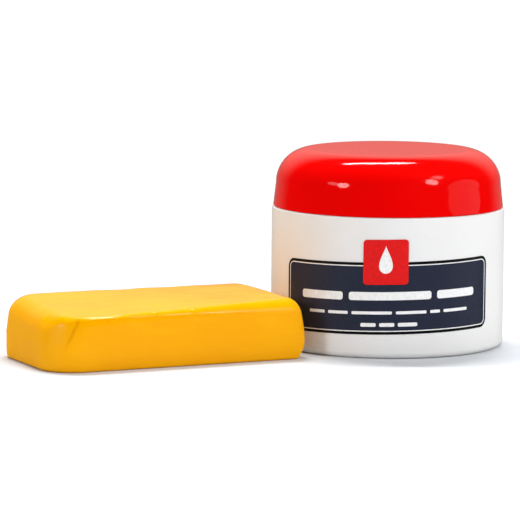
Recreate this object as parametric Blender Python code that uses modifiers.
"""A detailing clay bar and the double-wall jar that it is sold and stored in.

The bar lies beside the closed jar, turned a little, the way the set stands on a bench. The jar is
an outer wall with a cup inside it; the cup carries the neck and its screw thread. The lid is a
glossy dome over a threaded insert, with a loose sealing disc under the insert. Two labels sit on
the jar's front. Everything is at real size, in metres, +Z up, and the origin is the middle of the
set's footprint on the bench.
"""

import math

import bmesh
import bpy
from mathutils import Matrix, Vector

MM = 0.001
GAP = 0.3 * MM  # clearance that touching pieces keep

# Where the two things stand.
JAR_AXIS = Vector((52.505, 21.304, 0.0)) * MM
BAR_CENTRE = Vector((-42.333, -23.041, 0.0)) * MM
BAR_TURN = math.radians(25.4)

# Driving dimensions of the jar and its lid.
SEGMENTS = 60  # flats round every turned piece
JAR_RADIUS = 47.5 * MM
JAR_HEIGHT = 56.4 * MM
JAR_WALL = 2.2 * MM
JAR_RIM_WALL = 1.2 * MM  # above the seat that the cup's flange rests on
LID_RADIUS = 46.9 * MM
LID_TOP = 79.8 * MM
LID_WALL = 1.4 * MM
LID_SHOULDER = 14.0 * MM
LID_DRAFT = 1.0 * MM  # how much narrower the lid is where its shoulder starts

# Neck and thread, a single start of a little over one turn.
NECK_RADIUS = 40.6 * MM
NECK_BORE = 38.8 * MM
NECK_TOP = 67.6 * MM
THREAD_PITCH = 5.08 * MM
THREAD_TURNS = 1.1
NECK_BEAD = 1.2 * MM
INSERT_BEAD = 1.3 * MM
INSERT_BORE = 42.3 * MM
NECK_THREAD_START = 59.9 * MM
THREAD_OFFSET = 2.3 * MM  # the insert's thread lies this far under the neck's, with the lid closed

# The clay bar, hand-pressed, so that its corners differ. Each corner, as seen from above with the
# front towards -Y: its plan radius and the height of the top there.
BAR_LENGTH = 109.8 * MM
BAR_WIDTH = 57.7 * MM
BAR_HEIGHT = 24.0 * MM  # nominal
BAR_CORNERS = {
    (1, 1): (10.3 * MM, 24.0 * MM),
    (-1, 1): (13.2 * MM, 25.1 * MM),
    (-1, -1): (13.5 * MM, 20.9 * MM),
    (1, -1): (4.2 * MM, 23.9 * MM),
}
BAR_CROWN = 0.6 * MM
BAR_BELLY = 0.85 * MM  # how far the sides bulge at half height
BAR_FOOT_ROUND = 0.8 * MM
FRONT_ROUND = (2.4 * MM, 7.6 * MM)  # top edge radius along the front, from left to right
BACK_ROUND = (10.8 * MM, 5.7 * MM)
END_ROUND = {-1: 6.9 * MM, 1: 8.4 * MM}
RIM_RADIUS = 0.2 * MM  # plan radius left at the rim of the top, at the tightest corner
END_LEAN = {-1: 2.0 * MM, 1: 2.2 * MM}  # how far each end leans in over the full height

# Labels: angles are measured round the jar from its front, positive to the right.
LABEL_FROM, LABEL_TO = math.radians(-58.3), math.radians(54.4)
LABEL_BOTTOM, LABEL_TOP = 9.9 * MM, 38.8 * MM
LABEL_CORNER = 3.6 * MM
LABEL_SKEW = 0.02  # rise per unit of arc: the label is stuck on slightly out of level
BADGE_MIDDLE = math.radians(-2.6)
BADGE_SIDE = 18.0 * MM
BADGE_BOTTOM = 29.9 * MM
BADGE_CORNER = 1.4 * MM
LABEL_STANDOFF = 0.2 * MM
LABEL_THICKNESS = 0.3 * MM

COLOURS = {
    "clay": ((0.93, 0.46, 0.01), 0.42),
    "jar_plastic": ((0.86, 0.84, 0.80), 0.35),
    "cup_plastic": ((0.90, 0.89, 0.87), 0.40),
    "lid_red": ((0.78, 0.005, 0.005), 0.12),
    "insert_plastic": ((0.88, 0.87, 0.85), 0.40),
    "seal_foam": ((0.92, 0.92, 0.90), 0.85),
    "label_navy": ((0.015, 0.02, 0.04), 0.30),
    "badge_red": ((0.72, 0.01, 0.01), 0.35),
}


# ---------------------------------------------------------------- scene and helpers


def clear_scene():
    for obj in list(bpy.data.objects):
        bpy.data.objects.remove(obj)


def new_collection(name):
    collection = bpy.data.collections.new(name)
    bpy.context.scene.collection.children.link(collection)
    return collection


def material(name):
    colour, roughness = COLOURS[name]
    made = bpy.data.materials.new(name)
    made.use_nodes = True
    shader = made.node_tree.nodes["Principled BSDF"]
    shader.inputs["Base Color"].default_value = (*colour, 1.0)
    shader.inputs["Roughness"].default_value = roughness
    shader.inputs["Metallic"].default_value = 0.0
    return made


def add_object(name, mesh, collection, slot=None):
    obj = bpy.data.objects.new(name, mesh)
    collection.objects.link(obj)
    if slot:
        mesh.materials.append(material(slot))
    return obj


def add_helper(name, mesh, collection):
    """An object that only cuts or joins."""
    obj = add_object(name, mesh, collection)
    obj.hide_render = True
    obj.display_type = "WIRE"
    return obj


def arc(centre_r, centre_z, radius, start, end, steps):
    """Points of a circular arc in the (r, z) plane, angles in degrees from +r towards +z."""
    points = []
    for i in range(steps + 1):
        a = math.radians(start + (end - start) * i / steps)
        points.append((centre_r + radius * math.cos(a), centre_z + radius * math.sin(a)))
    return points


def turned(name, profile, collection, slot, at=JAR_AXIS):
    """A solid of revolution. The profile starts and ends on the axis and runs down its outer side."""
    mesh = bpy.data.meshes.new(name)
    points = [(r, 0.0, z) for r, z in profile]
    edges = [(i, i + 1) for i in range(len(points) - 1)]
    mesh.from_pydata(points, edges, [])
    obj = add_object(name, mesh, collection, slot)
    obj.location = at
    screw = obj.modifiers.new("Turn", "SCREW")
    screw.axis = "Z"
    screw.angle = math.tau
    screw.steps = SEGMENTS
    screw.render_steps = SEGMENTS
    screw.use_merge_vertices = True
    screw.merge_threshold = 0.01 * MM
    screw.use_smooth_shade = True
    return obj


def join_with(obj, helper):
    union = obj.modifiers.new("Join " + helper.name, "BOOLEAN")
    union.operation = "UNION"
    union.object = helper


# ---------------------------------------------------------------- the thread


def thread_bead(name, wall_radius, bead_radius, start_z, collection, at=JAR_AXIS):
    """A right-hand helical bead, half sunk in its wall, that thins to nothing at both ends."""
    steps = round(SEGMENTS * THREAD_TURNS)
    fade = SEGMENTS // 10
    curve = bpy.data.curves.new(name, "CURVE")
    curve.dimensions = "3D"
    curve.bevel_depth = bead_radius
    curve.bevel_resolution = 2
    curve.use_fill_caps = True
    spline = curve.splines.new("POLY")
    spline.points.add(steps)
    for i, point in enumerate(spline.points):
        a = math.tau * i / SEGMENTS
        z = start_z + THREAD_PITCH * i / SEGMENTS
        point.co = (wall_radius * math.cos(a), wall_radius * math.sin(a), z, 1.0)
        point.radius = max(0.2, min(1.0, (i + 1) / fade, (steps - i + 1) / fade))
    source = bpy.data.objects.new(name + "_curve", curve)
    collection.objects.link(source)
    source.location = at
    bpy.context.view_layer.update()

    graph = bpy.context.evaluated_depsgraph_get()
    mesh = bpy.data.meshes.new_from_object(source.evaluated_get(graph))
    shape = bmesh.new()
    shape.from_mesh(mesh)
    bmesh.ops.remove_doubles(shape, verts=shape.verts, dist=0.001 * MM)
    bmesh.ops.recalc_face_normals(shape, faces=shape.faces)
    shape.to_mesh(mesh)
    shape.free()
    helper = add_helper(name, mesh, collection)
    helper.matrix_world = source.matrix_world
    bpy.data.objects.remove(source)
    return helper


# ---------------------------------------------------------------- the jar


def jar_outer_wall(collection):
    """The outside of the jar: one drawn shell with a foot ring and a seat for the cup's flange."""
    foot_radius = 2.6 * MM
    base_thickness = 1.6 * MM
    recess = 1.0 * MM  # the middle of the base is lifted off the bench
    recess_radius = 38.0 * MM
    seat_depth = 2.1 * MM
    seat_radius = JAR_RADIUS - JAR_RIM_WALL
    bore = JAR_RADIUS - JAR_WALL
    edge = 0.7 * MM
    floor = recess + base_thickness
    profile = [(0.0, floor), (bore - 3 * MM, floor)]
    profile += arc(bore - 3 * MM, floor + 3 * MM, 3 * MM, -90, 0, 3)[1:]
    profile += [
        (bore, JAR_HEIGHT - seat_depth),
        (seat_radius, JAR_HEIGHT - seat_depth),
        (seat_radius, JAR_HEIGHT),
    ]
    profile += arc(JAR_RADIUS - edge, JAR_HEIGHT - edge, edge, 90, 0, 3)
    profile += arc(JAR_RADIUS - foot_radius, foot_radius, foot_radius, 0, -90, 5)
    profile += [
        (recess_radius + recess, 0.0),
        (recess_radius, recess),
        (0.0, recess),
    ]
    return turned("jar_outer_wall", profile, collection, "jar_plastic")


def jar_inner_cup(collection, helpers):
    """The cup that holds the clay. Its flange drops into the outer wall, and its neck is threaded."""
    wall = NECK_RADIUS - NECK_BORE - 0.3 * MM
    underside = 3.1 * MM
    floor = underside + 1.8 * MM
    foot_bore = NECK_BORE - 1.0 * MM  # the cup narrows a little towards its floor
    flange_radius = JAR_RADIUS - JAR_RIM_WALL - GAP
    flange_top = JAR_HEIGHT - 0.2 * MM
    flange_thickness = 1.6 * MM
    corner = 3.0 * MM
    lip = 0.6 * MM
    outside = foot_bore + wall
    profile = [(0.0, floor)]
    profile += arc(foot_bore - corner, floor + corner, corner, -90, 0, 4)
    profile += arc(NECK_BORE + lip, NECK_TOP - lip, lip, 180, 90, 2)
    profile += arc(NECK_RADIUS - lip, NECK_TOP - lip, lip, 90, 0, 2)
    profile += [
        (NECK_RADIUS, flange_top),
        (flange_radius, flange_top),
        (flange_radius, flange_top - flange_thickness),
        (NECK_RADIUS, flange_top - flange_thickness),
        (outside, underside + corner + wall),
    ]
    profile += arc(outside - corner - wall, underside + corner + wall, corner + wall, 0, -90, 4)[1:]
    profile += [(0.0, underside)]
    cup = turned("jar_inner_cup", profile, collection, "cup_plastic")
    bead = thread_bead("neck_thread", NECK_RADIUS, NECK_BEAD, NECK_THREAD_START, helpers)
    join_with(cup, bead)
    return cup


# ---------------------------------------------------------------- the lid


def lid_dome(collection):
    """The red outside of the lid: a drafted wall, a full round shoulder and a flat top."""
    rim = JAR_HEIGHT + 0.5 * MM
    flat_radius = LID_RADIUS - LID_DRAFT - LID_SHOULDER
    shoulder_z = LID_TOP - LID_SHOULDER
    rim_edge = 0.4 * MM
    inner_wall = LID_RADIUS - LID_WALL
    ceiling = LID_TOP - LID_WALL
    inner_shoulder = LID_SHOULDER - LID_WALL
    ring_outer, ring_inner = 37.0 * MM, 35.8 * MM  # stiffening ring that holds the insert down
    ring_bottom = 70.9 * MM
    profile = [(0.0, LID_TOP)]
    profile += arc(flat_radius, shoulder_z, LID_SHOULDER, 90, 0, 10)
    profile += [
        (LID_RADIUS, rim + rim_edge),
        (LID_RADIUS - rim_edge, rim),
        (inner_wall, rim),
    ]
    ring_angle = math.degrees(math.acos((ring_outer - flat_radius) / inner_shoulder))
    profile += arc(flat_radius, shoulder_z, inner_shoulder, 0, ring_angle, 7)
    profile += [
        (ring_outer, ring_bottom),
        (ring_inner, ring_bottom),
        (ring_inner, ceiling - 0.9 * MM),
        (ring_inner - 1.5 * MM, ceiling),
        (0.0, ceiling),
    ]
    return turned("lid_dome", profile, collection, "lid_red")


def insert_ribs(radius_from, radius_to, bottom, top, collection):
    """Upright ribs round the insert that key it to the dome, as one helper mesh."""
    count = 20
    width = 1.4 * MM
    shape = bmesh.new()
    for i in range(count):
        turn = Matrix.Rotation(math.tau * (i + 0.5) / count, 4, "Z")
        shift = Matrix.Translation(((radius_from + radius_to) / 2, 0.0, (bottom + top) / 2))
        size = Matrix.Diagonal((radius_to - radius_from, width, top - bottom, 1.0))
        bmesh.ops.create_cube(shape, size=1.0, matrix=turn @ shift @ size)
    mesh = bpy.data.meshes.new("insert_ribs")
    shape.to_mesh(mesh)
    shape.free()
    helper = add_helper("insert_ribs", mesh, collection)
    helper.location = JAR_AXIS
    return helper


def lid_threaded_insert(collection, helpers):
    """The plain cap inside the dome. It carries the lid's thread and presses on the seal."""
    skirt_bottom = JAR_HEIGHT + 1.3 * MM
    skirt_radius = INSERT_BORE + 1.2 * MM
    plate_bottom = NECK_TOP + 1.6 * MM
    plate_top = plate_bottom + 1.4 * MM
    corner = 1.2 * MM
    profile = [(0.0, plate_top)]
    profile += arc(skirt_radius - corner, plate_top - corner, corner, 90, 0, 3)
    profile += [
        (skirt_radius, skirt_bottom),
        (INSERT_BORE, skirt_bottom),
        (INSERT_BORE, plate_bottom),
        (0.0, plate_bottom),
    ]
    insert = turned("lid_threaded_insert", profile, collection, "insert_plastic")
    lag = 0.25  # turns between the start of the neck's thread and the start of this one
    bead_start = NECK_THREAD_START - THREAD_OFFSET + THREAD_PITCH * lag
    bead = thread_bead("insert_thread", INSERT_BORE, INSERT_BEAD, bead_start, helpers)
    bead.rotation_euler.z = math.tau * lag
    join_with(insert, bead)
    rib_reach = LID_RADIUS - LID_DRAFT - LID_WALL - GAP
    rib_top = LID_TOP - LID_SHOULDER - GAP
    ribs = insert_ribs(skirt_radius - 0.4 * MM, rib_reach, skirt_bottom + 0.5 * MM, rib_top, helpers)
    join_with(insert, ribs)
    return insert


def lid_seal(collection):
    """The loose foam disc that the insert presses on the neck."""
    radius = INSERT_BORE - 0.6 * MM
    bottom = NECK_TOP + GAP
    top = bottom + 1.0 * MM
    profile = [(0.0, top), (radius, top), (radius, bottom), (0.0, bottom)]
    return turned("lid_seal_disc", profile, collection, "seal_foam")


# ---------------------------------------------------------------- the labels


def curved_label(name, from_angle, to_angle, bottom, top, corner, radius, skew, collection, slot):
    """A thin label with rounded corners, wrapped round the jar."""
    corner_steps = 4
    arc_length = (to_angle - from_angle) * radius
    middle_steps = max(4, round(math.degrees(to_angle - from_angle) / 5))
    ends = [corner * (1 - math.cos(math.pi / 2 * i / corner_steps)) for i in range(corner_steps + 1)]
    span = arc_length - 2 * corner
    inner = [corner + span * i / middle_steps for i in range(1, middle_steps)]
    columns = ends + inner + [arc_length - e for e in reversed(ends)]
    shape = bmesh.new()
    bmesh.ops.create_grid(shape, x_segments=len(columns) - 1, y_segments=2, size=1.0)
    middle_z, half = (bottom + top) / 2, (top - bottom) / 2
    for vert in shape.verts:
        index = round((vert.co.x + 1) / 2 * (len(columns) - 1))
        along = columns[index]
        to_end = min(along, arc_length - along, corner)
        height = half - (corner - math.sqrt(corner**2 - (corner - to_end) ** 2))
        a = from_angle + along / radius
        z = middle_z + vert.co.y * height + skew * (along - arc_length / 2)
        vert.co = (radius * math.sin(a), -radius * math.cos(a), z)
    bmesh.ops.recalc_face_normals(shape, faces=shape.faces)
    if shape.faces[:][0].normal.dot(Vector((math.sin(from_angle), -math.cos(from_angle), 0))) < 0:
        bmesh.ops.reverse_faces(shape, faces=shape.faces)
    mesh = bpy.data.meshes.new(name)
    shape.to_mesh(mesh)
    shape.free()
    label = add_object(name, mesh, collection, slot)
    label.location = JAR_AXIS
    solid = label.modifiers.new("Thickness", "SOLIDIFY")
    solid.thickness = LABEL_THICKNESS
    solid.offset = 1.0
    return label


def front_label(collection):
    radius = JAR_RADIUS + LABEL_STANDOFF
    return curved_label(
        "front_label", LABEL_FROM, LABEL_TO, LABEL_BOTTOM, LABEL_TOP, LABEL_CORNER, radius,
        LABEL_SKEW, collection, "label_navy",
    )


def label_badge(collection):
    radius = JAR_RADIUS + 2 * LABEL_STANDOFF + LABEL_THICKNESS
    half = BADGE_SIDE / 2 / radius
    return curved_label(
        "label_badge", BADGE_MIDDLE - half, BADGE_MIDDLE + half, BADGE_BOTTOM, BADGE_BOTTOM + BADGE_SIDE,
        BADGE_CORNER, radius, LABEL_SKEW, collection, "badge_red",
    )


# ---------------------------------------------------------------- the clay bar


def bar_outline():
    """Round the bar's plan: a corner centre or a point between two, the way out and the radius."""
    corner_steps, long_steps, short_steps = 5, 13, 8
    corners = []
    for (x, y), (radius, _) in BAR_CORNERS.items():
        centre = Vector((x * (BAR_LENGTH / 2 - radius), y * (BAR_WIDTH / 2 - radius)))
        corners.append((centre, radius))
    outline = []
    for quarter, (centre, radius) in enumerate(corners):
        for i in range(corner_steps + 1):
            a = math.pi / 2 * (quarter + i / corner_steps)
            outline.append((centre, Vector((math.cos(a), math.sin(a))), radius))
        way_out = outline[-1][1]
        next_centre, next_radius = corners[(quarter + 1) % 4]
        steps = short_steps if quarter % 2 else long_steps
        for i in range(1, steps):
            share = i / steps
            between = radius + (next_radius - radius) * share
            outline.append((centre.lerp(next_centre, share), way_out, between))
    return outline


def bar_top(x, y):
    """Height of the bar's top: a plane twisted between the four corners, and a slight crown."""
    u, v = 2 * x / BAR_LENGTH, 2 * y / BAR_WIDTH
    height = BAR_CROWN * (1 - u * u) * (1 - v * v)
    for (side_x, side_y), (_, corner_height) in BAR_CORNERS.items():
        height += corner_height * (1 + side_x * u) * (1 + side_y * v) / 4
    return height


def top_round(x, out):
    """Radius of the top edge at x, for a side that faces out."""
    share = x / BAR_LENGTH + 0.5
    left, right = BACK_ROUND if out.y > 0 else FRONT_ROUND
    end = END_ROUND[1 if out.x > 0 else -1]
    return end * out.x**2 + (left + (right - left) * share) * out.y**2


def bar_section(core, out, radius):
    """Points up the bar's side at one place, from the rim of its underside to the rim of its top."""
    foot_steps, side_steps, top_steps = 3, 5, 6
    edge = core + out * radius
    rounding = min(top_round(edge.x, out), radius - RIM_RADIUS)
    lean = END_LEAN[1 if out.x > 0 else -1] * out.x**2

    def place(inset, z):
        w = z / BAR_HEIGHT
        spot = core + out * (radius - inset - lean * w + BAR_BELLY * 4 * w * (1 - w))
        return Vector((spot.x, spot.y, z))

    points = []
    for i in range(foot_steps + 1):
        a = math.pi / 2 * (1 - i / foot_steps)
        points.append(place(BAR_FOOT_ROUND * (1 - math.cos(a)), BAR_FOOT_ROUND * (1 - math.sin(a))))
    side_top = bar_top(edge.x, edge.y) - rounding
    for i in range(1, side_steps):
        points.append(place(0.0, BAR_FOOT_ROUND + (side_top - BAR_FOOT_ROUND) * i / side_steps))
    for i in range(top_steps + 1):
        a = math.pi / 2 * i / top_steps
        point = place(rounding * (1 - math.cos(a)), side_top + rounding * math.sin(a))
        point.z = bar_top(point.x, point.y) - rounding * (1 - math.sin(a))
        points.append(point)
    return points


def clay_bar(collection):
    """A hand-pressed block: flat underneath, with a tight front edge and softer ends and back."""
    shape = bmesh.new()
    rings = list(zip(*[bar_section(*place) for place in bar_outline()]))
    top_rim = rings[-1]
    for scale in (0.9, 0.75, 0.55, 0.3):
        flat = [(point.x * scale, point.y * scale) for point in top_rim]
        rings.append([Vector((x, y, bar_top(x, y))) for x, y in flat])
    made = [[shape.verts.new(point) for point in ring] for ring in rings]
    count = len(top_rim)
    under = shape.verts.new((0.0, 0.0, 0.0))
    over = shape.verts.new((0.0, 0.0, bar_top(0.0, 0.0)))
    for i in range(count):
        j = (i + 1) % count
        for lower, upper in zip(made, made[1:]):
            shape.faces.new((lower[i], lower[j], upper[j], upper[i]))
        shape.faces.new((under, made[0][j], made[0][i]))
        shape.faces.new((over, made[-1][i], made[-1][j]))
    mesh = bpy.data.meshes.new("clay_bar")
    shape.to_mesh(mesh)
    shape.free()
    mesh.shade_smooth()
    bar = add_object("clay_bar", mesh, collection, "clay")
    bar.location = BAR_CENTRE
    bar.rotation_euler.z = BAR_TURN
    return bar


# ---------------------------------------------------------------- the set


def build():
    clear_scene()
    parts = new_collection("clay_bar_set")
    helpers = new_collection("helpers")
    clay_bar(parts)
    jar_outer_wall(parts)
    jar_inner_cup(parts, helpers)
    front_label(parts)
    label_badge(parts)
    lid_dome(parts)
    lid_threaded_insert(parts, helpers)
    lid_seal(parts)


build()
